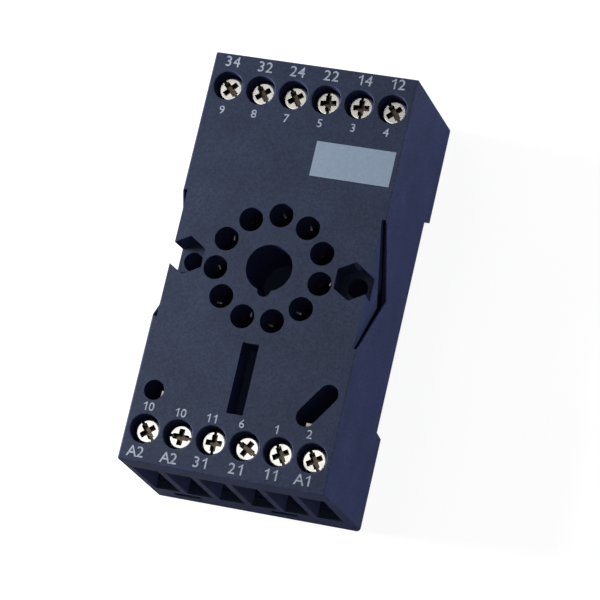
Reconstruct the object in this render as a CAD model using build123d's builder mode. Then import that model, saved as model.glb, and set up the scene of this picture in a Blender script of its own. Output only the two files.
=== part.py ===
"""Plug-in relay socket for eleven pins, with screw terminals, for a 35 mm rail or a panel.

Frame: +Z out of the front face, +Y along the length, +X across. Z = 0 is the back of the two end
blocks, and X = Y = 0 is the centre of the pin circle. Millimetres.
"""

import math
import os

from build123d import *

# Overall size
body_width = 38.0  # across the back edge
body_length = 75.3  # along the back edge
body_depth = 26.6
draft_angle = 0.97  # the outside narrows towards the front
corner_radius = 0.7
front_edge_radius = 0.35
side_wall = 1.3
end_wall = 1.4
front_wall = 5.2  # over the terminal cells
core_depth = 14.4  # solid middle of the housing, from the front face

# Rail seat across the back
rail_seat_height = 3.4  # from the back
rail_gap_top = 18.6  # end of the recess towards +Y, at the seat
rail_gap_low = 20.4  # end of the recess towards -Y, at the seat
rail_slant_top = 0.9
rail_slant_low = 0.4
rail_width = 35.0
rail_thickness = 1.0
rail_play = 0.5  # between the rail's upper edge and the fixed side of the recess

# Pin circle and keyed centre hole
pin_count = 11
pin_circle = 19.05
pin_hole = 4.3
centre_hole = 8.3
centre_depth = 13.0
key_width = 2.5
key_reach = 5.2  # from the centre to the bottom of the key

# Terminals
terminals_per_row = 6
cell_margin = 0.55  # from the front edge's side to the middle of the divider outside the last cell
cell_divider = 1.25  # wall between two cells
row_inset = 5.9  # from the front face's end to each row of screws
well_diameter = 5.2
well_edge_radius = 0.2
cell_floor = 6.2  # height of the wire entries' rear floor, from the back
cell_reach = 4.8  # from the row of screws to the inner end of each terminal cell

# Screws and clamps, as delivered, with the clamps open
head_diameter = 4.6
head_sink = 2.0  # from the front face to the head
head_height = 3.3
shank_diameter = 3.0
shank_clearance = 0.05
screw_length = 12.2  # head and shank
recess_arm = 1.0
recess_span = 2.9
recess_depth = 1.3
recess_taper = 7.0  # degrees that the cross recess narrows downwards
slot_width = 0.55
slot_depth = 0.7
head_edge_radius = 0.45
tip_chamfer = 0.5
clamp_gap = 0.05
clamp_thickness = 1.2
clamp_play = 0.225  # between a clamp plate or terminal plate and the cell's wall
clamp_length = 6.0
clamp_corner = 0.4
grip_offset = 2.2
grip_width = 0.4
grip_depth = 0.25
plate_depth = 9.4  # top of the terminal plates, from the front face

# Contact strips
strip_thickness = 1.0
strip_width = 2.4
plate_reach = 3.0  # from the row of screws to the outer end of the terminal plates
lower_drop = 2.2  # from the upper layer of strips to the lower one

# Pin contacts
sleeve_outer = 3.7
sleeve_inner = 2.5
sleeve_mouth = 3.1
sleeve_sink = 5.2  # from the front face to the sleeve's mouth
sleeve_slit = 0.5
sleeve_floor = 1.0
slit_length = 7.0
mouth_depth = 0.5
tail_diameter = 2.0
tail_head = 3.0
tail_head_height = 0.6

# Side recesses, mounting holes and undercuts
hex_flats = 6.04
hex_depth = 4.5
mount_inset = 3.55  # from the front edge's side to each mounting hole
mount_hole = 3.5
mount_wall = 0.9
groove_half = 11.6
groove_depth = 10.8
groove_inset = 0.85  # at the front edge
groove_lean = 2.2  # degrees that the inset face leans inwards
groove_skin = 0.2
groove_under = 3.0

# Holes for a plug-in module and the blind slot. A rise is counted from the lower row of screws.
round_hole = 3.6
round_x = -15.0
round_rise = 6.9
oblong_width = 3.5
oblong_upper_x = 15.36
oblong_upper_rise = 11.21
oblong_lower_x = 12.35
oblong_lower_rise = 6.8
slot_x = 3.0
slot_top = -13.6
slot_rise = 5.1
slot_floor = 5.4
tab_thickness = 0.6
tab_width = 1.6
tab_rise = 2.6  # from the front face to the tip of a module tab

# Snap windows and base
window_width = 5.1
window_height = 1.9
window_low = 3.0  # from the back to the window's lower edge
window_offsets = (-12.0, 6.0)
base_clearance = 0.1
base_thickness = 1.6
block_wall = 1.4
tongue_reach = 0.6

# Rail hook and latch
hook_width = 7.0
hook_spacing = 18.0
hook_overlap = 1.4
hook_thickness = 1.3
hook_gap = 0.2  # under the rail's edge
latch_width = 12.0
latch_thickness = 2.0
latch_overlap = 1.2
latch_travel = 2.5
latch_flange = 1.4
latch_clearance = 0.15
lip_thickness = 0.9
latch_bridge = 1.6  # from the block's inner face to the spring pocket
nose_chamfer = 0.9
release_slot = 4.0
release_height = 1.0
spring_wire = 0.35
spring_coil = 2.2
spring_turns = 6
release_room = 2.35  # from the latch's outer end to its spring pocket
post_thickness = 1.2
post_clearance = 0.05
nub_length = 1.5

# Levels, as heights above the back
front_z = body_depth
seat_z = rail_seat_height
core_z = body_depth - core_depth
cell_top_z = body_depth - front_wall
cell_floor_z = cell_floor
head_z = body_depth - head_sink
head_under_z = head_z - head_height
clamp_top_z = head_under_z - clamp_gap
clamp_low_z = clamp_top_z - clamp_thickness
plate_z = body_depth - plate_depth
upper_strip_z = core_z
lower_strip_z = upper_strip_z - lower_drop
draft_tangent = math.tan(math.radians(draft_angle))
front_width = body_width - 2 * body_depth * draft_tangent
front_length = body_length - 2 * body_depth * draft_tangent
inner_half_width = front_width / 2 - side_wall
inner_half_length = front_length / 2 - end_wall
terminal_pitch = (front_width - 2 * cell_margin) / terminals_per_row
cell_width = terminal_pitch - cell_divider
clamp_width = cell_width - 2 * clamp_play
plate_width = clamp_width
row_offset = front_length / 2 - row_inset
cell_inner = row_offset - cell_reach
plate_out = row_offset + plate_reach
well_edge = min(well_edge_radius, (terminal_pitch - well_diameter) / 3)
round_y = round_rise - row_offset
oblong_upper = (oblong_upper_x, oblong_upper_rise - row_offset)
oblong_lower = (oblong_lower_x, oblong_lower_rise - row_offset)
slot_bottom = slot_rise - row_offset
mount_spacing = front_width - 2 * mount_inset
window_z = window_low + window_height / 2
shank_hole = shank_diameter + 2 * shank_clearance

terminal_x = [(i - (terminals_per_row - 1) / 2) * terminal_pitch for i in range(terminals_per_row)]
pin_angle = {k: -90 + (k - 0.5) * 360 / pin_count for k in range(1, pin_count + 1)}
pin_at = {
    k: (
        pin_circle / 2 * math.cos(math.radians(a)),
        pin_circle / 2 * math.sin(math.radians(a)),
    )
    for k, a in pin_angle.items()
}

os.makedirs("parts", exist_ok=True)


def finish(piece, name):
    """Label one finished piece and write it."""
    piece.part.label = name
    export_step(piece.part, f"parts/{name}.step")


# Undercut behind the V in each side wall, made once for the right side
groove_face = front_width / 2 - groove_inset
groove_back = groove_face - (groove_depth + groove_under) * math.tan(math.radians(groove_lean))
with BuildPart() as v_opening:
    with BuildSketch(Plane.YZ):
        with BuildLine():
            Polyline(
                (-groove_half, front_z),
                (0, front_z - groove_depth),
                (groove_half, front_z),
                close=True,
            )
        make_face()
    extrude(amount=body_width)
    with BuildSketch(Plane.XZ.offset(-groove_half)):
        with BuildLine():
            Polyline(
                (groove_face, front_z),
                (body_width, front_z),
                (body_width, front_z - groove_depth - groove_under),
                (groove_back, front_z - groove_depth - groove_under),
                close=True,
            )
        make_face()
    extrude(amount=2 * groove_half, mode=Mode.INTERSECT)

with BuildPart() as v_pocket:
    with BuildSketch(Plane.YZ):
        with BuildLine():
            Polyline(
                (-groove_half, front_z),
                (-groove_half, front_z - groove_under),
                (0, front_z - groove_depth - groove_under),
                (groove_half, front_z - groove_under),
                (groove_half, front_z),
                (0, front_z - groove_depth),
                close=True,
            )
        make_face()
    extrude(amount=body_width)
    with BuildSketch(Plane.XZ.offset(-groove_half)):
        with BuildLine():
            Polyline(
                (groove_face, front_z),
                (front_width / 2 - groove_skin, front_z),
                (
                    front_width / 2 - groove_skin + (groove_depth + groove_under) * draft_tangent,
                    front_z - groove_depth - groove_under,
                ),
                (groove_back, front_z - groove_depth - groove_under),
                close=True,
            )
        make_face()
    extrude(amount=2 * groove_half, mode=Mode.INTERSECT)

# Housing: one moulding, closed at the front and open at the back
with BuildPart() as housing:
    with BuildSketch():
        RectangleRounded(body_width, body_length, corner_radius)
    extrude(amount=body_depth, taper=draft_angle)
    fillet(housing.faces().sort_by(Axis.Z)[-1].edges(), front_edge_radius)
    # Room for the strips and the base behind the solid core
    with BuildSketch():
        Rectangle(2 * inner_half_width, 2 * inner_half_length)
    extrude(amount=cell_floor_z, mode=Mode.SUBTRACT)
    with BuildSketch(Plane.XY.offset(cell_floor_z)):
        Rectangle(2 * inner_half_width, 2 * cell_inner)
    extrude(amount=core_z - cell_floor_z, mode=Mode.SUBTRACT)
    # Terminal cells, through each end wall
    for x in terminal_x:
        with BuildSketch(Plane.XY.offset(cell_floor_z)):
            with Locations((x, (cell_inner + body_length) / 2), (x, -(cell_inner + body_length) / 2)):
                Rectangle(cell_width, body_length - cell_inner)
        extrude(amount=cell_top_z - cell_floor_z, mode=Mode.SUBTRACT)
    # Tubes round the mounting holes, down to the base
    with BuildSketch(Plane.XY.offset(seat_z + base_thickness)):
        with Locations((-mount_spacing / 2, 0), (mount_spacing / 2, 0)):
            Circle(mount_hole / 2 + mount_wall)
    extrude(amount=core_z - seat_z - base_thickness)
    # Rail recess across the back
    with BuildSketch(Plane.YZ.offset(-body_width)):
        with BuildLine():
            Polyline(
                (rail_gap_top, seat_z),
                (rail_gap_top + rail_slant_top, 0),
                (rail_gap_top + rail_slant_top, -body_depth),
                (-rail_gap_low - rail_slant_low, -body_depth),
                (-rail_gap_low - rail_slant_low, 0),
                (-rail_gap_low, seat_z),
                close=True,
            )
        make_face()
    extrude(amount=2 * body_width, mode=Mode.SUBTRACT)
    # Screw wells
    with BuildSketch(Plane.XY.offset(front_z)):
        for y in (-row_offset, row_offset):
            for x in terminal_x:
                with Locations((x, y)):
                    Circle(well_diameter / 2)
    extrude(amount=-(front_wall + 0.5), mode=Mode.SUBTRACT)
    well_edges = housing.faces().sort_by(Axis.Z)[-1].edges().filter_by(GeomType.CIRCLE)
    fillet(well_edges.filter_by(lambda e: abs(e.radius - well_diameter / 2) < 1e-6), well_edge)
    # Pin holes
    with BuildSketch(Plane.XY.offset(front_z)):
        with Locations(*pin_at.values()):
            Circle(pin_hole / 2)
    extrude(amount=-(core_depth + 0.5), mode=Mode.SUBTRACT)
    # Keyed centre hole
    with BuildSketch(Plane.XY.offset(front_z)):
        Circle(centre_hole / 2)
        with Locations((0, -(key_reach - key_width / 2) / 2)):
            Rectangle(key_width, key_reach - key_width / 2)
        with Locations((0, -(key_reach - key_width / 2))):
            Circle(key_width / 2)
    extrude(amount=-centre_depth, mode=Mode.SUBTRACT)
    # Hexagon recesses and mounting holes
    with BuildSketch(Plane.XY.offset(front_z)):
        with Locations((-mount_spacing / 2, 0), (mount_spacing / 2, 0)):
            RegularPolygon(hex_flats / 2, 6, major_radius=False, rotation=30)
    extrude(amount=-hex_depth, mode=Mode.SUBTRACT)
    with BuildSketch(Plane.XY.offset(front_z)):
        with Locations((-mount_spacing / 2, 0), (mount_spacing / 2, 0)):
            Circle(mount_hole / 2)
    extrude(amount=-body_depth, mode=Mode.SUBTRACT)
    # Module holes and the blind slot
    with BuildSketch(Plane.XY.offset(front_z)):
        with Locations((round_x, round_y)):
            Circle(round_hole / 2)
        with BuildLine():
            Line(oblong_upper, oblong_lower)
        trace(line_width=oblong_width)
        with Locations(oblong_upper, oblong_lower):
            Circle(oblong_width / 2)
    extrude(amount=-(core_depth + 0.5), mode=Mode.SUBTRACT)
    with BuildSketch(Plane.XY.offset(front_z)):
        with Locations((0, (slot_top + slot_bottom) / 2)):
            Rectangle(slot_x, slot_top - slot_bottom)
    extrude(amount=-slot_floor, mode=Mode.SUBTRACT)
    # V-shaped undercuts
    add(v_opening.part, mode=Mode.SUBTRACT)
    add(v_opening.part.mirror(Plane.YZ), mode=Mode.SUBTRACT)
    add(v_pocket.part, mode=Mode.SUBTRACT)
    add(v_pocket.part.mirror(Plane.YZ), mode=Mode.SUBTRACT)
    # Snap windows in both end walls
    with BuildSketch(Plane.XZ.offset(-body_length)):
        for x in window_offsets:
            with Locations((x, window_z)):
                Rectangle(window_width, window_height)
    extrude(amount=2 * body_length, mode=Mode.SUBTRACT)
finish(housing, "housing")

# Base plate: closes the back, floors the wire entries and carries the rail hooks
base_half_width = inner_half_width - base_clearance
base_half_length = inner_half_length - base_clearance
block_top = rail_gap_top + rail_slant_top  # inner face of the block towards +Y
block_low = rail_gap_low + rail_slant_low  # inner face of the block towards -Y
rail_edge_top = rail_gap_top - rail_play
rail_edge_low = rail_edge_top - rail_width
hook_z = seat_z - rail_thickness - hook_gap
flange_z = hook_z - latch_thickness + lip_thickness + latch_clearance
latch_low_z = hook_z - latch_thickness
latch_tip = rail_edge_low + latch_overlap
latch_end = -(inner_half_length - latch_travel - 2 * latch_clearance)
channel_half = latch_width / 2 + latch_clearance
channel_neck = latch_width / 2 - latch_flange + latch_clearance
pocket_start = -block_low - latch_bridge
pocket_stop = latch_end + release_room
spring_seat = pocket_stop + post_clearance + post_thickness
spring_length = pocket_start - spring_seat
spring_z = (hook_z + latch_low_z) / 2
pocket_half = spring_coil / 2 + 2 * latch_clearance
top_block_length = base_half_length - block_top
low_block_length = base_half_length - block_low
core_pocket = (2 * base_half_width - 4 * block_wall) / 3

with BuildPart() as base_plate:
    with BuildSketch(Plane.XY.offset(seat_z)):
        with Locations((0, (block_top - block_low) / 2)):
            Rectangle(2 * base_half_width, block_top + block_low)
    extrude(amount=base_thickness)
    with BuildSketch():
        with Locations((0, block_top + top_block_length / 2)):
            Rectangle(2 * base_half_width, top_block_length)
        with Locations((0, -block_low - low_block_length / 2)):
            Rectangle(2 * base_half_width, low_block_length)
    extrude(amount=cell_floor_z)
    # Cored pockets in the upper block, open at the back
    with BuildSketch():
        with Locations((0, block_top + top_block_length / 2)):
            with GridLocations(core_pocket + block_wall, 0, 3, 1):
                Rectangle(core_pocket, top_block_length - 2 * block_wall)
    extrude(amount=cell_floor_z - block_wall, mode=Mode.SUBTRACT)
    # Pockets beside the latch in the lower block
    side_pocket = base_half_width - channel_half - 2 * block_wall
    with BuildSketch():
        with Locations(
            (channel_half + block_wall + side_pocket / 2, -block_low - low_block_length / 2),
            (-channel_half - block_wall - side_pocket / 2, -block_low - low_block_length / 2),
        ):
            Rectangle(side_pocket, low_block_length - 2 * block_wall)
    extrude(amount=cell_floor_z - block_wall, mode=Mode.SUBTRACT)
    # Undercut channel for the latch
    with BuildSketch():
        with Locations((0, -block_low - low_block_length / 2)):
            Rectangle(2 * channel_neck, low_block_length)
    extrude(amount=hook_z + latch_clearance, mode=Mode.SUBTRACT)
    with BuildSketch(Plane.XY.offset(flange_z - latch_clearance)):
        with Locations((0, -block_low - low_block_length / 2)):
            Rectangle(2 * channel_half, low_block_length)
    extrude(amount=hook_z - flange_z + 2 * latch_clearance, mode=Mode.SUBTRACT)
    # Post and nub that hold the outer end of the spring
    with BuildSketch(Plane.XY.offset(hook_z + latch_clearance)):
        with Locations((0, spring_seat - post_thickness / 2)):
            Rectangle(spring_coil, post_thickness)
    extrude(amount=-latch_thickness)
    with BuildSketch(Plane.XZ.offset(-spring_seat)):
        with Locations((0, spring_z)):
            Circle(spring_coil / 2 - spring_wire - latch_clearance)
    extrude(amount=-nub_length)
    # Fixed hooks for the rail's upper edge
    with BuildSketch(Plane.XY.offset(hook_z)):
        with Locations((0, (rail_edge_top - hook_overlap + block_top + block_wall) / 2)):
            with GridLocations(hook_spacing, 0, 2, 1):
                Rectangle(hook_width, block_top + block_wall - rail_edge_top + hook_overlap)
    extrude(amount=-hook_thickness)
    # Holes for the panel screws
    with BuildSketch(Plane.XY.offset(seat_z)):
        with Locations((-mount_spacing / 2, 0), (mount_spacing / 2, 0)):
            Circle(mount_hole / 2)
    extrude(amount=base_thickness, mode=Mode.SUBTRACT)
    # Snap tongues that stand in the housing's windows
    for side in (-1, 1):
        with BuildSketch(Plane.XZ.offset(-side * base_half_length)):
            for x in window_offsets:
                with Locations((x, window_z)):
                    Rectangle(window_width - 2 * base_clearance, window_height - 2 * base_clearance)
        extrude(amount=-side * (base_clearance + tongue_reach))
finish(base_plate, "base_plate")

# Rail latch: slides in the base, with a hook nose at its inner end
with BuildPart() as rail_latch:
    with BuildSketch(Plane.XY.offset(latch_low_z)):
        with Locations((0, (latch_tip + latch_end) / 2)):
            Rectangle(latch_width - 2 * latch_flange, latch_tip - latch_end)
    extrude(amount=latch_thickness)
    nose_edge = rail_latch.edges().filter_by(Axis.X).group_by(Axis.Z)[0].sort_by(Axis.Y)[-1]
    chamfer(nose_edge, nose_chamfer)
    with BuildSketch(Plane.XY.offset(flange_z)):
        with Locations((0, (-block_low - latch_clearance + latch_end) / 2)):
            Rectangle(latch_width, -block_low - latch_clearance - latch_end)
    extrude(amount=hook_z - flange_z)
    # Spring pocket, whose outer end stops against the base's post, and the release slot
    with BuildSketch(Plane.XY.offset(latch_low_z)):
        with Locations((0, (pocket_start + pocket_stop) / 2)):
            Rectangle(2 * pocket_half, pocket_start - pocket_stop)
        with Locations((0, (pocket_stop + latch_end) / 2)):
            Rectangle(release_slot, release_height)
    extrude(amount=latch_thickness, mode=Mode.SUBTRACT)
finish(rail_latch, "rail_latch")

# Latch spring: a small compression coil between the base's post and the latch
with BuildPart() as latch_spring:
    with BuildLine():
        coil = Helix(
            pitch=(spring_length - spring_wire) / spring_turns,
            height=spring_length - spring_wire,
            radius=(spring_coil - spring_wire) / 2,
            center=(0, spring_seat + spring_wire / 2, spring_z),
            direction=(0, 1, 0),
        )
    with BuildSketch(Plane(origin=coil @ 0, z_dir=coil % 0)):
        Circle(spring_wire / 2)
    sweep(path=coil, is_frenet=True)
finish(latch_spring, "latch_spring")

# Terminal screws and clamp plates. Each screw was left at its own angle.
top_turns = (48, 38, 36, 8, 4, 40)
low_turns = (40, 88, 2, 62, 30, 32)
rows = (("top", row_offset, top_turns), ("low", -row_offset, low_turns))
for row_name, row_y, turns in rows:
    for i, (x, turn) in enumerate(zip(terminal_x, turns), start=1):
        aim = (math.cos(math.radians(turn)), math.sin(math.radians(turn)), 0)
        with BuildPart() as screw:
            with BuildSketch(Plane((x, row_y, head_under_z))):
                Circle(head_diameter / 2)
            extrude(amount=head_height)
            fillet(screw.faces().sort_by(Axis.Z)[-1].edges(), head_edge_radius)
            with BuildSketch(Plane((x, row_y, head_z), x_dir=aim)):
                Rectangle(recess_span, recess_arm)
                Rectangle(recess_arm, recess_span)
            extrude(amount=-recess_depth, taper=recess_taper, mode=Mode.SUBTRACT)
            with BuildSketch(Plane((x, row_y, head_z), x_dir=aim)):
                Rectangle(slot_width, head_diameter)
            extrude(amount=-slot_depth, mode=Mode.SUBTRACT)
            with BuildSketch(Plane((x, row_y, head_under_z))):
                Circle(shank_diameter / 2)
            extrude(amount=-(screw_length - head_height))
            chamfer(screw.faces().sort_by(Axis.Z)[0].edges(), tip_chamfer)
        finish(screw, f"terminal_screw_{row_name}_{i}")
        with BuildPart() as clamp:
            with BuildSketch(Plane((x, row_y, clamp_low_z))):
                RectangleRounded(clamp_width, clamp_length, clamp_corner)
                Circle(shank_hole / 2, mode=Mode.SUBTRACT)
            extrude(amount=clamp_thickness)
            # Grip groove across the underside
            with BuildSketch(Plane((x, row_y, clamp_low_z))):
                with Locations((0, grip_offset), (0, -grip_offset)):
                    Rectangle(clamp_width, grip_width)
            extrude(amount=grip_depth, mode=Mode.SUBTRACT)
        finish(clamp, f"clamp_plate_{row_name}_{i}")

# Contact strips: one stamping for each pin, bent down from the terminals to its layer.
# Each route runs from the bend at the cell to the pin, as points in plan.
leg_out = cell_inner + strip_thickness
left_x, second_x, third_x, fourth_x, fifth_x, right_x = terminal_x
routes = {
    1: (("low",), (fifth_x,), ((fifth_x, -20.0),), upper_strip_z),
    2: (("low",), (right_x,), ((right_x, -20.0),), upper_strip_z),
    3: (("top",), (fifth_x,), ((fifth_x, 6.0),), lower_strip_z),
    4: (("top",), (right_x,), ((right_x, 14.0),), upper_strip_z),
    5: (("top",), (fourth_x,), ((fourth_x, 16.0),), upper_strip_z),
    6: (("low",), (fourth_x,), ((fourth_x, -18.0), (0, -13.0)), lower_strip_z),
    7: (("top",), (third_x,), ((third_x, 16.0),), upper_strip_z),
    8: (("top",), (second_x,), ((second_x, 8.0),), upper_strip_z),
    9: (("top",), (left_x,), ((left_x, 13.0), (-11.6, 6.0)), lower_strip_z),
    10: (("low",), (second_x, left_x), ((second_x, -18.0),), upper_strip_z),
    11: (("low",), (third_x,), ((third_x, -14.0),), upper_strip_z),
}
tabs = {
    2: (oblong_lower[0] + 0.45, oblong_lower[1] - 0.8, tab_width, tab_thickness),
    10: (round_x + 0.9, round_y - 0.2, tab_thickness, tab_width),
}
for pin, (row, columns, bends, layer_z) in routes.items():
    side = 1 if row[0] == "top" else -1
    px, py = pin_at[pin]
    with BuildPart() as strip:
        for x in columns:
            # Terminal plate with the screw's hole
            with BuildSketch(Plane.XY.offset(plate_z)):
                with Locations((x, side * (cell_inner + plate_out) / 2)):
                    Rectangle(plate_width, plate_out - cell_inner)
                with Locations((x, side * row_offset)):
                    Circle(shank_hole / 2, mode=Mode.SUBTRACT)
            extrude(amount=-strip_thickness)
            # Leg down the core's end face
            with BuildSketch(Plane.XY.offset(plate_z)):
                with Locations((x, side * (cell_inner + leg_out) / 2)):
                    Rectangle(strip_width, strip_thickness)
            extrude(amount=layer_z - strip_thickness - plate_z)
        # Run under the core to the pin
        for x in columns:
            path = [(x, side * leg_out), *bends, (px, py)]
            with BuildSketch(Plane.XY.offset(layer_z)):
                for start, end in zip(path[:-1], path[1:]):
                    with BuildLine():
                        Line(start, end)
                    trace(line_width=strip_width)
                with Locations(*path[1:-1]):
                    Circle(strip_width / 2)
            extrude(amount=-strip_thickness)
        with BuildSketch(Plane.XY.offset(layer_z)):
            with Locations((px, py)):
                Circle(sleeve_outer / 2)
        extrude(amount=-strip_thickness)
        with BuildSketch(Plane.XY.offset(layer_z)):
            with Locations((px, py)):
                Circle(tail_diameter / 2)
        extrude(amount=-strip_thickness, mode=Mode.SUBTRACT)
        if pin in tabs:
            tab_x, tab_y, tab_dx, tab_dy = tabs[pin]
            foot_x = columns[-1]
            with BuildSketch(Plane.XY.offset(layer_z)):
                with Locations(((tab_x + foot_x) / 2, tab_y)):
                    Rectangle(abs(foot_x - tab_x) + tab_dx, strip_width)
            extrude(amount=-strip_thickness)
            with BuildSketch(Plane.XY.offset(layer_z)):
                with Locations((tab_x, tab_y)):
                    Rectangle(tab_dx, tab_dy)
            extrude(amount=front_z - tab_rise - layer_z)
    finish(strip, f"contact_strip_{pin}")

# Pin contacts: slit tulip sleeves, each staked through its strip
for pin, (px, py) in pin_at.items():
    layer_z = routes[pin][3]
    low_z = layer_z - strip_thickness
    aim = (math.cos(math.radians(pin_angle[pin])), math.sin(math.radians(pin_angle[pin])), 0)
    with BuildPart() as contact:
        with BuildSketch(Plane.XY.offset(upper_strip_z)):
            with Locations((px, py)):
                Circle(sleeve_outer / 2)
        extrude(amount=front_z - sleeve_sink - upper_strip_z)
        with BuildSketch(Plane.XY.offset(front_z - sleeve_sink)):
            with Locations((px, py)):
                Circle(sleeve_inner / 2)
        extrude(amount=-(front_z - sleeve_sink - upper_strip_z - sleeve_floor), mode=Mode.SUBTRACT)
        with BuildSketch(Plane.XY.offset(front_z - sleeve_sink)):
            with Locations((px, py)):
                Circle(sleeve_mouth / 2)
        with BuildSketch(Plane.XY.offset(front_z - sleeve_sink - mouth_depth)):
            with Locations((px, py)):
                Circle(sleeve_inner / 2)
        loft(mode=Mode.SUBTRACT)
        # Two slits that let the leaves spring
        with BuildSketch(Plane((px, py, front_z - sleeve_sink), x_dir=aim)):
            Rectangle(sleeve_outer, sleeve_slit)
        extrude(amount=-slit_length, mode=Mode.SUBTRACT)
        if layer_z < upper_strip_z:
            with BuildSketch(Plane.XY.offset(layer_z)):
                with Locations((px, py)):
                    Circle(tail_head / 2)
            extrude(amount=upper_strip_z - layer_z)
        with BuildSketch(Plane.XY.offset(layer_z)):
            with Locations((px, py)):
                Circle(tail_diameter / 2)
        extrude(amount=-strip_thickness)
        with BuildSketch(Plane.XY.offset(low_z)):
            with Locations((px, py)):
                Circle(tail_head / 2)
        extrude(amount=-tail_head_height)
    finish(contact, f"pin_contact_{pin}")
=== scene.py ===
"""Looks of the relay socket: camera, light, finishes, print, screw threads and contact tips.

Everything is in metres, in the part's own frame: +Z out of the front face, +Y along the length, and
X = Y = 0 at the centre of the ring of pin holes.
"""

import math

import bmesh
import bpy
from mathutils import Matrix, Vector


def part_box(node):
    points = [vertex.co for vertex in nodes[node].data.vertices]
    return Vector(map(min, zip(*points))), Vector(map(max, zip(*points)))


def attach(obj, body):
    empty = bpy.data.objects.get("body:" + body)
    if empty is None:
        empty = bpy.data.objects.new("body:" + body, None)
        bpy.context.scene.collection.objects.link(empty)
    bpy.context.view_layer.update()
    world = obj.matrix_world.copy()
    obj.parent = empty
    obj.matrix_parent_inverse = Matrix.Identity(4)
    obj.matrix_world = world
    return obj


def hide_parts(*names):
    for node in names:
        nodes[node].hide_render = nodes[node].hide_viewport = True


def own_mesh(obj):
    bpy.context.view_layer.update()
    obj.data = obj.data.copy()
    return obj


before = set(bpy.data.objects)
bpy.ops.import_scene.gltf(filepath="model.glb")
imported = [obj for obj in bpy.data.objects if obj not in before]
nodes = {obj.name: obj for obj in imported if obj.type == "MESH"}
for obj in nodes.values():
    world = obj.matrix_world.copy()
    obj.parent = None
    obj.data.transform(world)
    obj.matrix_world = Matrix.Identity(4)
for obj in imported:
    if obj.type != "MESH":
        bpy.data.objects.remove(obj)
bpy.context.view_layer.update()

# Camera
# A long lens, as for a catalogue picture, looks down on the front from the lower right. Its place and
# its turn were solved from the corners, the screws and the pin holes in the 600 x 600 frame.
scene = bpy.context.scene
scene.view_settings.view_transform = "Standard"
front_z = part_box("housing")[1].z
camera_distance = 0.53506
camera_aim = Vector((0.00671, -0.00470, front_z))
camera_back = Vector((0.28026, -0.22655, 0.93281)).normalized()
camera_right = Vector((0.94738, 0.22189, -0.23075)).normalized()
camera_up = camera_back.cross(camera_right)
camera_data = bpy.data.cameras.new("camera")
camera_data.sensor_width = 36
camera_data.lens = 188.58
camera_data.clip_start = 0.02
camera_data.clip_end = 20
camera = bpy.data.objects.new("camera", camera_data)
camera_turn = Matrix((camera_right, camera_up, camera_back)).transposed().to_4x4()
camera.matrix_world = Matrix.Translation(camera_aim + camera_distance * camera_back) @ camera_turn
scene.collection.objects.link(camera)
scene.camera = camera

# Lamps
# The key stands low and near at the left, so the front darkens to the right and the light stays out of
# the holes. A soft lamp hangs where the flat screw heads mirror it. Low fills reach the walls all round,
# and a small lamp near the camera gives the metal deep in the holes its glints.


def add_lamp(name, towards, distance, size, power, colour=(1.0, 1.0, 1.0)):
    """Hang a square soft lamp that looks at the object from the given direction."""
    data = bpy.data.lights.new(name, "AREA")
    data.shape = "SQUARE"
    data.size = size
    data.energy = power
    data.color = colour
    lamp = bpy.data.objects.new(name, data)
    direction = Vector(towards).normalized()
    turn = direction.to_track_quat("Z", "Y").to_matrix().to_4x4()
    lamp.matrix_world = Matrix.Translation(direction * distance) @ turn
    lamp.visible_camera = False
    scene.collection.objects.link(lamp)


warm_white = (1.0, 0.99, 0.97)
cool_white = (0.96, 0.98, 1.0)
add_lamp("left_key", towards=(-0.84, 0.0, 0.53), distance=0.28, size=0.12, power=1.4)
add_lamp("head_lamp", (-0.37, 0.13, 0.92), distance=0.9, size=0.34, power=0.78, colour=warm_white)
add_lamp("right_fill", (0.74, 0.66, 0.07), distance=0.6, size=0.04, power=2.5, colour=cool_white)
add_lamp("low_fill", (0.55, -0.83, 0.07), distance=0.35, size=0.03, power=0.24, colour=cool_white)
add_lamp("glint_lamp", towards=(0.22, -0.14, 0.96), distance=0.9, size=0.1, power=0.55)
add_lamp("far_fill", towards=(-0.6, 0.8, 0.12), distance=0.6, size=0.3, power=0.9)

# Backdrop
# The surroundings are plain white paper. The camera sees it full white, gloss and metal see a grey part
# of it, and the object itself gets only a low soft light from it.
MM = 0.001
soft_light = 0.06
mirrored_light = 0.08
white = (1, 1, 1, 1)
floor_size = 6.0
floor_drop = 0.02 * MM
floor_glow = 0.9


def linear(colour):
    """Turn an sRGB hex colour into linear red, green, blue and alpha."""
    channels = [int(colour[i : i + 2], 16) / 255 for i in (1, 3, 5)]
    return [c / 12.92 if c <= 0.04045 else ((c + 0.055) / 1.055) ** 2.4 for c in channels] + [1.0]


def add_node(tree, kind, settings=(), inputs=()):
    """Add one shader node, set its properties, and give each input its value or its link."""
    node = tree.nodes.new(kind)
    for name, value in dict(settings).items():
        setattr(node, name, value)
    for name, value in dict(inputs).items():
        if isinstance(value, bpy.types.NodeSocket):
            tree.links.new(value, node.inputs[name])
        else:
            node.inputs[name].default_value = value
    return node


def bare_material(name):
    """Start a material with an empty node tree."""
    material = bpy.data.materials.new(name)
    material.use_nodes = True
    material.node_tree.nodes.clear()
    return material, material.node_tree


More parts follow.
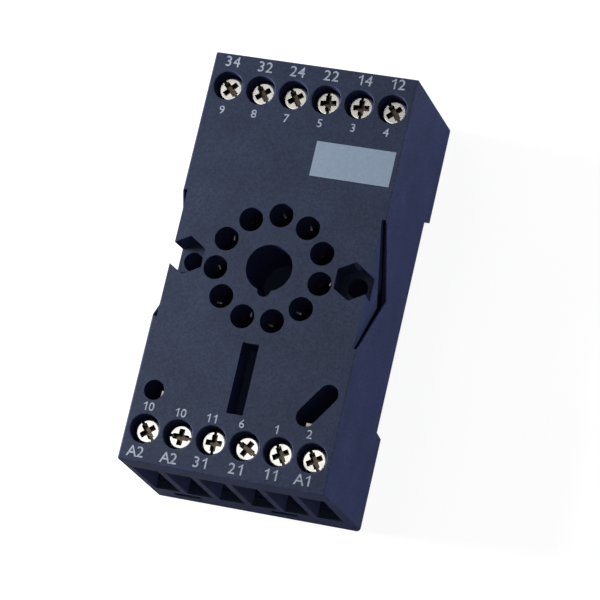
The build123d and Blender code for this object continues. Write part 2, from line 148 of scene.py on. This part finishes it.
world = bpy.data.worlds.new("white_paper_room")
world.use_nodes = True
room = world.node_tree
room.nodes.clear()
rays = add_node(room, "ShaderNodeLightPath")
seen = add_node(
    room,
    "ShaderNodeMath",
    {"operation": "MAXIMUM"},
    {0: rays.outputs["Is Camera Ray"], 1: rays.outputs["Is Transmission Ray"]},
)
mirrored = add_node(
    room,
    "ShaderNodeMath",
    {"operation": "MULTIPLY"},
    {0: rays.outputs["Is Glossy Ray"], 1: mirrored_light},
)
level = add_node(
    room, "ShaderNodeMath", {"operation": "MAXIMUM"}, {0: seen.outputs[0], 1: mirrored.outputs[0]}
)
level = add_node(room, "ShaderNodeMath", {"operation": "MAXIMUM"}, {0: level.outputs[0], 1: soft_light})
paper = add_node(room, "ShaderNodeBackground", inputs={"Color": white, "Strength": level.outputs[0]})
add_node(room, "ShaderNodeOutputWorld", inputs={"Surface": paper.outputs[0]})
scene.world = world

# Matt white paper: the eye sees plain white with the object's shadow on it. Its own colour is a mid
# grey, so that it throws little light on the sides, and the glow that the camera sees makes up for it.
floor_material, floor_tree = bare_material("white_paper")
rays = add_node(floor_tree, "ShaderNodeLightPath")
glow = add_node(
    floor_tree,
    "ShaderNodeMath",
    {"operation": "MULTIPLY"},
    {0: rays.outputs["Is Camera Ray"], 1: floor_glow},
)
matt = add_node(floor_tree, "ShaderNodeBsdfDiffuse", inputs={"Color": linear("#8c8c8c")})
bright = add_node(
    floor_tree, "ShaderNodeEmission", inputs={"Color": white, "Strength": glow.outputs[0]}
)
paper = add_node(floor_tree, "ShaderNodeAddShader", inputs={0: matt.outputs[0], 1: bright.outputs[0]})
add_node(floor_tree, "ShaderNodeOutputMaterial", inputs={"Surface": paper.outputs[0]})

floor_mesh = bmesh.new()
bmesh.ops.create_grid(floor_mesh, x_segments=1, y_segments=1, size=floor_size / 2)
bmesh.ops.translate(floor_mesh, vec=(0, 0, -floor_drop), verts=floor_mesh.verts)
floor_data = bpy.data.meshes.new("floor")
floor_mesh.to_mesh(floor_data)
floor_mesh.free()
floor_data.materials.append(floor_material)
floor = bpy.data.objects.new("floor", floor_data)
scene.collection.objects.link(floor)

# Housing
# One moulding in glass-filled PBT, dark navy. The mould's front plate was spark eroded, which leaves a
# fine grain on the front face, and the drafted sides were drawn off a smoother steel.
# The front's colour is painted darker and greyer and the sides' bluer and lighter: painted light for how
# the lamps and grazing reflections fall on each face.
grain_size = 0.4 * MM  # drawn coarser than the real erosion pits, which would not show
grain_depth = 0.02 * MM
grain_on_sides = 0.12
grain_on_front = 0.55
mottle_size = 7.0 * MM  # the flow of the glass fibres
speck_shade = (0.74, 1.28)
mottle_shade = (0.9, 1.14)
front_starts = 0.9  # Z of the normal from which a face counts as front
front_full = 0.99
pbt_ior = 1.58
matt_roughness = 0.6
matt_gloss = 0.12


def moulded_plastic(name, side_tone, front_tone, roughness, gloss):
    """Resin as moulded, grained where it faces the front, with one colour painted on the sides and another
    on the front as painted light.
    """
    material, tree = bare_material(name)
    place = add_node(tree, "ShaderNodeTexCoord")
    grain = add_node(
        tree,
        "ShaderNodeTexNoise",
        inputs={
            "Vector": place.outputs["Object"],
            "Scale": 1 / grain_size,
            "Detail": 3.0,
            "Roughness": 0.6,
        },
    )
    mottle = add_node(
        tree,
        "ShaderNodeTexNoise",
        inputs={
            "Vector": place.outputs["Object"],
            "Scale": 1 / mottle_size,
            "Detail": 3.0,
            "Roughness": 0.55,
        },
    )
    facing = add_node(tree, "ShaderNodeSeparateXYZ", inputs={0: place.outputs["Normal"]})
    front = add_node(
        tree,
        "ShaderNodeMapRange",
        inputs={"Value": facing.outputs["Z"], "From Min": front_starts, "From Max": front_full},
    )
    base = add_node(
        # Painted light: the colour switches from the side tone to the front tone by which way the face
        # points.
        tree,
        "ShaderNodeMix",
        {"data_type": "RGBA"},
        {"Factor": front.outputs[0], 6: linear(side_tone), 7: linear(front_tone)},
    )
    strength = add_node(
        tree,
        "ShaderNodeMapRange",
        inputs={"Value": front.outputs[0], "To Min": grain_on_sides, "To Max": grain_on_front},
    )
    speck = add_node(
        tree,
        "ShaderNodeMapRange",
        inputs={
            "Value": grain.outputs["Fac"],
            "From Min": 0.3,
            "From Max": 0.7,
            "To Min": speck_shade[0],
            "To Max": speck_shade[1],
        },
    )
    cloud = add_node(
        tree,
        "ShaderNodeMapRange",
        inputs={
            "Value": mottle.outputs["Fac"],
            "From Min": 0.3,
            "From Max": 0.7,
            "To Min": mottle_shade[0],
            "To Max": mottle_shade[1],
        },
    )
    shade = add_node(
        tree, "ShaderNodeMath", {"operation": "MULTIPLY"}, {0: speck.outputs[0], 1: cloud.outputs[0]}
    )
    colour = add_node(
        tree,
        "ShaderNodeVectorMath",
        {"operation": "SCALE"},
        {0: base.outputs[2], "Scale": shade.outputs[0]},
    )
    bump = add_node(
        tree,
        "ShaderNodeBump",
        inputs={
            "Height": grain.outputs["Fac"],
            "Distance": grain_depth,
            "Strength": strength.outputs[0],
        },
    )
    surface = add_node(
        tree,
        "ShaderNodeBsdfPrincipled",
        inputs={
            "Base Color": colour.outputs[0],
            "Roughness": roughness,
            "Specular IOR Level": gloss,
            "IOR": pbt_ior,
            "Normal": bump.outputs[0],
        },
    )
    add_node(tree, "ShaderNodeOutputMaterial", inputs={"Surface": surface.outputs[0]})
    return material


def dress(node, material):
    """Give a solid from the model its finish."""
    mesh = nodes[node].data
    mesh.materials.clear()
    mesh.materials.append(material)


# Glass-filled PBT: the eye sees a matt navy skin with a fine grain in front; the sides are painted bluer
# and lighter and the front greyer, as painted light.
housing_plastic = moulded_plastic(
    "moulded_glass_filled_pbt", "#333a5b", "#262e42", matt_roughness, matt_gloss
)
dress("housing", housing_plastic)

# Print
# Plain terminal and pin numbers and an empty light field, pad printed on the front in thin grey-blue
# ink. The ink lies on the grain of the plastic, so it is a little uneven and lets the dark ground through.
ink_height = 0.012 * MM  # how far the ink stands over the front
ink_sink = 0.004 * MM  # how far its slab reaches into the plastic
ink_middle = front_z + (ink_height - ink_sink) / 2
same_corner = 0.0001 * MM
large_number = 1.9 * MM
small_number = 1.5 * MM
character_step = 0.78  # from one character to the next, in heights
stroke_gain = 0.005  # ink that spreads past the outline, in font sizes
curve_steps = 4
one_corners = (
    (0.36, 0),
    (0.5, 0),
    (0.5, 1),
    (0.4, 1),
    (0.28, 0.86),
    (0.1, 0.76),
    (0.1, 0.64),
    (0.36, 0.78),
)
upper_terminals = (
    ("34", -15.15, 35.76),
    ("32", -9.08, 35.58),
    ("24", -3.14, 35.58),
    ("22", 3.04, 35.70),
    ("14", 9.09, 35.72),
    ("12", 15.05, 35.87),
)
upper_pins = (
    ("9", -15.04, 26.77),
    ("8", -9.15, 26.87),
    ("7", -3.21, 26.89),
    ("5", 2.87, 26.91),
    ("3", 8.91, 26.94),
    ("4", 14.87, 26.98),
)
lower_pins = (
    ("10", -15.27, -27.37),
    ("10", -9.41, -27.52),
    ("11", -3.72, -27.55),
    ("6", 1.69, -27.57),
    ("1", 7.88, -27.51),
    ("2", 13.71, -27.37),
)
lower_terminals = (
    ("A2", -15.52, -35.42),
    ("A2", -9.44, -35.55),
    ("31", -3.90, -35.39),
    ("21", 2.51, -35.40),
    ("11", 8.67, -35.29),
    ("A1", 14.46, -35.22),
)
field_low = Vector((3.2 * MM, 17.35 * MM))
field_high = Vector((17.5 * MM, 23.7 * MM))


def pad_print_ink(name, colour, cover):
    """Pad printing ink: matt, with the plastic's grain showing through where the film is thin."""
    material, tree = bare_material(name)
    place = add_node(tree, "ShaderNodeTexCoord")
    grain = add_node(
        tree,
        "ShaderNodeTexNoise",
        inputs={
            "Vector": place.outputs["Object"],
            "Scale": 1 / grain_size,
            "Detail": 3.0,
            "Roughness": 0.65,
        },
    )
    film = add_node(
        tree,
        "ShaderNodeMapRange",
        inputs={
            "Value": grain.outputs["Fac"],
            "From Min": 0.3,
            "From Max": 0.62,
            "To Min": cover,
            "To Max": 1.0,
        },
    )
    tint = add_node(
        tree,
        "ShaderNodeMix",
        {"data_type": "RGBA"},
        {"Factor": film.outputs[0], 6: linear("#2f3749"), 7: linear(colour)},
    )
    surface = add_node(
        tree,
        "ShaderNodeBsdfPrincipled",
        inputs={"Base Color": tint.outputs[2], "Roughness": 0.6, "Specular IOR Level": 0.3},
    )
    add_node(tree, "ShaderNodeOutputMaterial", inputs={"Surface": surface.outputs[0]})
    return material


def add_piece(name, shape, material, body):
    """Make a piece of a bmesh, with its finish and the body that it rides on."""
    mesh = bpy.data.meshes.new(name)
    shape.to_mesh(mesh)
    shape.free()
    mesh.materials.append(material)
    piece = bpy.data.objects.new(name, mesh)
    scene.collection.objects.link(piece)
    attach(piece, body)
    return piece


def character_outline(character):
    """One character as a slab about its own middle, and its height. The 1 is drawn, for its flag."""
    if character == "1":
        curve = bpy.data.curves.new("one", "CURVE")
        curve.dimensions = "2D"
        curve.fill_mode = "BOTH"
        spline = curve.splines.new("POLY")
        spline.points.add(len(one_corners) - 1)
        for point, (x, y) in zip(spline.points, one_corners):
            point.co = (x, y, 0, 1)
        spline.use_cyclic_u = True
    else:
        curve = bpy.data.curves.new("character", "FONT")
        curve.body = character
        curve.resolution_u = curve_steps
        curve.offset = stroke_gain
    curve.extrude = (ink_height + ink_sink) / 2
    letter = bpy.data.objects.new("character", curve)
    outline = bpy.data.meshes.new_from_object(letter)
    bpy.data.objects.remove(letter)
    bpy.data.curves.remove(curve)
    low = [min(v.co[i] for v in outline.vertices) for i in (0, 1)]
    high = [max(v.co[i] for v in outline.vertices) for i in (0, 1)]
    outline.transform(Matrix.Translation((-(low[0] + high[0]) / 2, -(low[1] + high[1]) / 2, 0)))
    return outline, high[1] - low[1]


def number_row(name, numbers, height, ink):
    """Print one row of numbers, each centred on its place and as high as asked."""
    row = bmesh.new()
    for text, x, y in numbers:
        for place, character in enumerate(text):
            outline, drawn = character_outline(character)
            along = (place - (len(text) - 1) / 2) * character_step * height
            to_place = Matrix.Translation((x * MM + along, y * MM, ink_middle))
            outline.transform(to_place @ Matrix.Diagonal((height / drawn, height / drawn, 1, 1)))
            row.from_mesh(outline)
            bpy.data.meshes.remove(outline)
    bmesh.ops.remove_doubles(row, verts=row.verts, dist=same_corner)
    bmesh.ops.recalc_face_normals(row, faces=row.faces)
    add_piece(name, row, ink, "socket")


# Pad printing ink: the eye sees a pale matt grey, broken up by the grain under the thin film.
number_ink = pad_print_ink("pad_print_ink_numbers", "#9ea6b8", 0.5)
number_row("upper_terminal_numbers", upper_terminals, large_number, number_ink)
number_row("upper_pin_numbers", upper_pins, small_number, number_ink)
number_row("lower_pin_numbers", lower_pins, small_number, number_ink)
number_row("lower_terminal_numbers", lower_terminals, large_number, number_ink)

# The same ink laid on fuller: the eye sees an even grey-blue field to write on.
field_ink = pad_print_ink("pad_print_ink_field", "#7f90a3", 0.85)
field_size = field_high - field_low
field_middle = (field_high + field_low) / 2
field_shape = bmesh.new()
bmesh.ops.create_cube(field_shape, size=1)
bmesh.ops.scale(
    field_shape, vec=(field_size.x, field_size.y, ink_height + ink_sink), verts=field_shape.verts
)
bmesh.ops.translate(
    field_shape, vec=(field_middle.x, field_middle.y, ink_middle), verts=field_shape.verts
)
add_piece("label_field", field_shape, field_ink, "socket")

# Base plate
# The cover at the back, moulded from the same resin as the housing in a plain steel mould. It snaps into
# the end walls and carries the fixed hooks for the rail.
# PBT without the eroded grain: the eye sees the same matt navy as on the housing's sides, all over.
base_plastic = moulded_plastic("moulded_pbt_base", "#333a5b", "#333a5b", matt_roughness, matt_gloss)
dress("base_plate", base_plastic)

# Rail latch and its spring
# A dark slide moulded in acetal, pushed to the rail by a coil of drawn spring wire. The coil stands on
# the base plate's post and is pressed together towards it as the latch is drawn back.
coil_same_corner = 0.0005 * MM
streak_detail = 4.0  # the streaks themselves are drawn coarser than real ones, which would not show
streak_break_up = 0.6
streak_strength = 0.5
duller, glossier = 1.3, 0.7

# Acetal: the eye sees a near-black slide, smoother and glossier than the housing.
latch_plastic = moulded_plastic("moulded_acetal", "#1c1f2a", "#1c1f2a", 0.35, 0.4)
dress("rail_latch", latch_plastic)


def bare_metal(name, colour, roughness, streak_size, streak_depth, fade=None):
    """Metal as plated or drawn, with faint streaks in the gloss.

    A fade is a colour that the surface has up to one height, and the height where its own is reached; in
    the screw recess both colours are painted shade.
    """
    material, tree = bare_material(name)
    place = add_node(tree, "ShaderNodeTexCoord")
    streak = add_node(
        tree,
        "ShaderNodeTexNoise",
        inputs={
            "Vector": place.outputs["Object"],
            "Scale": 1 / streak_size,
            "Detail": streak_detail,
            "Roughness": streak_break_up,
        },
    )
    matt = add_node(
        tree,
        "ShaderNodeMapRange",
        inputs={
            "Value": streak.outputs["Fac"],
            "From Min": 0.3,
            "From Max": 0.7,
            "To Min": roughness * glossier,
            "To Max": roughness * duller,
        },
    )
    bump = add_node(
        tree,
        "ShaderNodeBump",
        inputs={
            "Height": streak.outputs["Fac"],
            "Distance": streak_depth,
            "Strength": streak_strength,
        },
    )
    surface = add_node(
        tree,
        "ShaderNodeBsdfPrincipled",
        inputs={
            "Base Color": linear(colour),
            "Metallic": 1.0,
            "Roughness": matt.outputs[0],
            "Normal": bump.outputs[0],
        },
    )
    if fade:
        lower_colour, fade_low, fade_high = fade
        height = add_node(tree, "ShaderNodeSeparateXYZ", inputs={0: place.outputs["Object"]})
        risen = add_node(
            tree,
            "ShaderNodeMapRange",
            inputs={"Value": height.outputs["Z"], "From Min": fade_low, "From Max": fade_high},
        )
        tint = add_node(
            tree,
            "ShaderNodeMix",
            {"data_type": "RGBA"},
            {"Factor": risen.outputs[0], 6: linear(lower_colour), 7: linear(colour)},
        )
        tree.links.new(tint.outputs[2], surface.inputs["Base Color"])
    add_node(tree, "ShaderNodeOutputMaterial", inputs={"Surface": surface.outputs[0]})
    return material


# Drawn spring wire: the eye sees a grey coil with fine dull streaks from the drawing die.
spring_steel = bare_metal("drawn_spring_steel", "#a4a4a2", 0.3, 0.3 * MM, 0.002 * MM)
spring_shape = bmesh.new()
spring_shape.from_mesh(nodes["latch_spring"].data)
bmesh.ops.remove_doubles(spring_shape, verts=spring_shape.verts, dist=coil_same_corner)
for face in spring_shape.faces:
    face.smooth = True
spring = add_piece("latch_coil", spring_shape, spring_steel, "socket")
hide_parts("latch_spring")
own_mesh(spring)

# Contact strips
# Punched from half-hard brass and bent. Two of them carry an upright tab for the plug-in module, tin
# plated where it stands in its hole.
plating_low = front_z - 12.0 * MM
plating_high = front_z - 11.0 * MM

# Punched brass: the eye sees warm yellow metal with soft streaks, grey where a tab is tin plated.
strip_brass = bare_metal(
    "punched_brass",
    "#a8a49a",
    0.34,
    0.5 * MM,
    0.002 * MM,
    fade=("#c9a760", plating_low, plating_high),
)
for node in nodes:
    if node.startswith("contact_strip"):
        dress(node, strip_brass)

# Pin contacts
# Slit brass sleeves that grip the relay's pins, tin plated, and painted dark as painted shade for their
# place deep in the holes. The end of one leaf of most is bent outwards to a rounded lip, and that lip
# catches the light.
tip_radius = 0.2 * MM
tip_length = 0.9 * MM
tip_rounding = 0.06 * MM
tip_sides = 16
tip_round_steps = 3
tips = {  # pin: the lip's direction in degrees, and its distance from the pin's axis in mm
    1: (166, 1.62),
    2: (165, 1.68),
    3: (75, 1.65),
    5: (123, 1.68),
    6: (125, 1.68),
    8: (100, 1.68),
    9: (124, 1.68),
    10: (180, 1.68),
    11: (93, 1.68),
}

# Tin plate painted dark warm grey as painted shade, so that the sleeves hardly show in their holes.
sleeve_tin_painted_shade = bare_metal("tin_plated_brass", "#4b4842", 0.22, 0.4 * MM, 0.002 * MM)
# Bright tin plate: the eye sees a small pale glint.
tip_tin = bare_metal("bright_tin_plate", "#efece4", 0.5, 0.4 * MM, 0.001 * MM)
for node in nodes:
    if node.startswith("pin_contact"):
        dress(node, sleeve_tin_painted_shade)
for pin, (angle, reach) in tips.items():
    lowest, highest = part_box(f"pin_contact_{pin}")
    middle = (lowest + highest) / 2
    tip_shape = bmesh.new()
    bmesh.ops.create_cone(
        tip_shape,
        cap_ends=True,
        segments=tip_sides,
        radius1=tip_radius,
        radius2=tip_radius,
        depth=tip_length,
    )
    rims = [e for e in tip_shape.edges if abs(e.verts[0].co.z - e.verts[1].co.z) < tip_rounding]
    bmesh.ops.bevel(
        tip_shape,
        geom=rims,
        offset=tip_rounding,
        affect="EDGES",
        segments=tip_round_steps,
        profile=0.5,
        material=-1,
    )
    place = Matrix.Translation((middle.x, middle.y, highest.z))
    place = place @ Matrix.Rotation(math.radians(angle), 4, "Z")
    place = place @ Matrix.Translation((reach * MM, 0, 0)) @ Matrix.Rotation(math.pi / 2, 4, "Y")
    bmesh.ops.transform(tip_shape, matrix=place, verts=tip_shape.verts)
    for face in tip_shape.faces:
        face.smooth = True
    add_piece(f"sleeve_tip_{pin}", tip_shape, tip_tin, "socket")

# Clamp plates
# Squares stamped from steel sheet, one under each screw head, which presses them onto the wire. They are
# zinc plated after stamping.
# Zinc on a stamping: the eye sees light grey metal, a little mottled.
clamp_zinc = bare_metal("zinc_plated_stamping", "#b9bab8", 0.34, 0.4 * MM, 0.004 * MM)
for node in nodes:
    if node.startswith("clamp_plate"):
        dress(node, clamp_zinc)

# Terminal screws
# M3 screws, cold headed with a combined cross and slot, thread rolled and bright zinc plated. The head
# keeps the model's own shape, the recess is painted dark as painted shade, and the plain shank gives way
# to a rolled thread.
head_height = 3.3 * MM
head_radius = 2.3 * MM
head_rounding = 0.45 * MM
head_cut_margin = 0.01 * MM
head_same_corner = 0.0005 * MM
recess_skin = 0.03 * MM
recess_depth = 1.3 * MM
thread_pitch = 0.5 * MM
thread_crest = 1.5 * MM
thread_root = 1.2 * MM
thread_steps = 28
thread_same_corner = 0.002 * MM
thread_into_head = 0.02 * MM
flank_starts, crest_starts, crest_ends = 0.12, 0.5, 0.62  # in pitches
point_height = 0.45 * MM
first_thread_turn, next_thread_turn = 740, 61  # degrees, so that neighbours start differently
screw_low, screw_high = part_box("terminal_screw_top_1")

# Bright zinc plate: the eye sees clean white heads with slow, faint changes of gloss.
head_zinc = bare_metal("bright_zinc_plated_steel", "#d6d4ce", 0.24, 1.4 * MM, 0.003 * MM)
# Painted shade in the recess: the eye sees a black cross that turns grey at its floor.
recess_painted_shade = bare_metal(
    "screw_recess_painted_shade",
    "#0c0a08",
    0.32,
    0.3 * MM,
    0.002 * MM,
    fade=("#575046", screw_high.z - recess_depth, screw_high.z),
)


def rolled_thread(length):
    """One closed rolled thread with its point down: a ridge spun up the core, with both ends closed."""
    shape = bmesh.new()
    profile = (
        (thread_root, 0),
        (thread_root, flank_starts * thread_pitch),
        (thread_crest, crest_starts * thread_pitch),
        (thread_crest, crest_ends * thread_pitch),
        (thread_root, thread_pitch),
    )
    corners = [shape.verts.new((r, 0, z)) for r, z in profile]
    line = [shape.edges.new(pair) for pair in zip(corners[:-1], corners[1:])]
    turns = math.ceil(length / thread_pitch) + 1
    bmesh.ops.spin(
        shape,
        geom=corners + line,
        cent=(0, 0, 0),
        axis=(0, 0, 1),
        dvec=(0, 0, thread_pitch / thread_steps),
        angle=2 * math.pi * turns,
        steps=thread_steps * turns,
        use_duplicate=False,
    )
    bmesh.ops.remove_doubles(shape, verts=shape.verts, dist=thread_same_corner)
    for height, sign in ((thread_pitch, -1), (thread_pitch + length, 1)):
        bmesh.ops.bisect_plane(
            shape,
            geom=shape.verts[:] + shape.edges[:] + shape.faces[:],
            plane_co=(0, 0, height),
            plane_no=(0, 0, sign),
            clear_outer=True,
        )
    bmesh.ops.holes_fill(shape, edges=[e for e in shape.edges if e.is_boundary])
    bmesh.ops.recalc_face_normals(shape, faces=shape.faces)
    bmesh.ops.translate(shape, verts=shape.verts, vec=(0, 0, -thread_pitch))
    point = bmesh.ops.create_cone(
        shape,
        cap_ends=True,
        segments=thread_steps,
        radius1=thread_root - point_height / 2,
        radius2=thread_root,
        depth=point_height,
    )["verts"]
    bmesh.ops.translate(shape, verts=point, vec=(0, 0, -point_height / 2))
    mesh = bpy.data.meshes.new("rolled_thread")
    shape.to_mesh(mesh)
    shape.free()
    return mesh


thread = rolled_thread(screw_high.z - head_height - screw_low.z - point_height + thread_into_head)
for node in [n for n in nodes if n.startswith("terminal_screw")]:
    lowest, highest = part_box(node)
    middle = (lowest + highest) / 2
    screw = bmesh.new()
    screw.from_mesh(nodes[node].data)
    bmesh.ops.remove_doubles(screw, verts=screw.verts, dist=head_same_corner)
    bmesh.ops.bisect_plane(
        screw,
        geom=screw.verts[:] + screw.edges[:] + screw.faces[:],
        plane_co=(0, 0, highest.z - head_height + head_cut_margin),
        plane_no=(0, 0, 1),
        clear_inner=True,
    )
    bmesh.ops.holes_fill(screw, edges=[e for e in screw.edges if e.is_boundary])
    for face in screw.faces:  # those under the skin of the rounded head are the recess's
        spot = face.calc_center_median()
        reach = math.hypot(spot.x - middle.x, spot.y - middle.y) - head_radius + head_rounding
        rounding = head_rounding - math.sqrt(max(head_rounding**2 - max(reach, 0) ** 2, 0))
        under_skin = spot.z < highest.z - rounding - recess_skin
        over_floor = spot.z > highest.z - recess_depth - recess_skin
        in_recess = under_skin and over_floor and reach < head_rounding - recess_skin
        face.material_index = int(in_recess)
    angle = first_thread_turn + next_thread_turn * int(node[-1])
    turn = Matrix.Rotation(math.radians(angle), 4, "Z")
    body = thread.copy()
    body.transform(Matrix.Translation((middle.x, middle.y, lowest.z + point_height)) @ turn)
    screw.from_mesh(body)
    bpy.data.meshes.remove(body)
    screw_body = node.removeprefix("terminal_")
    piece = add_piece(f"threaded_{screw_body}", screw, head_zinc, screw_body)
    # The recess's faces take the painted shade.
    piece.data.materials.append(recess_painted_shade)
    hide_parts(node)
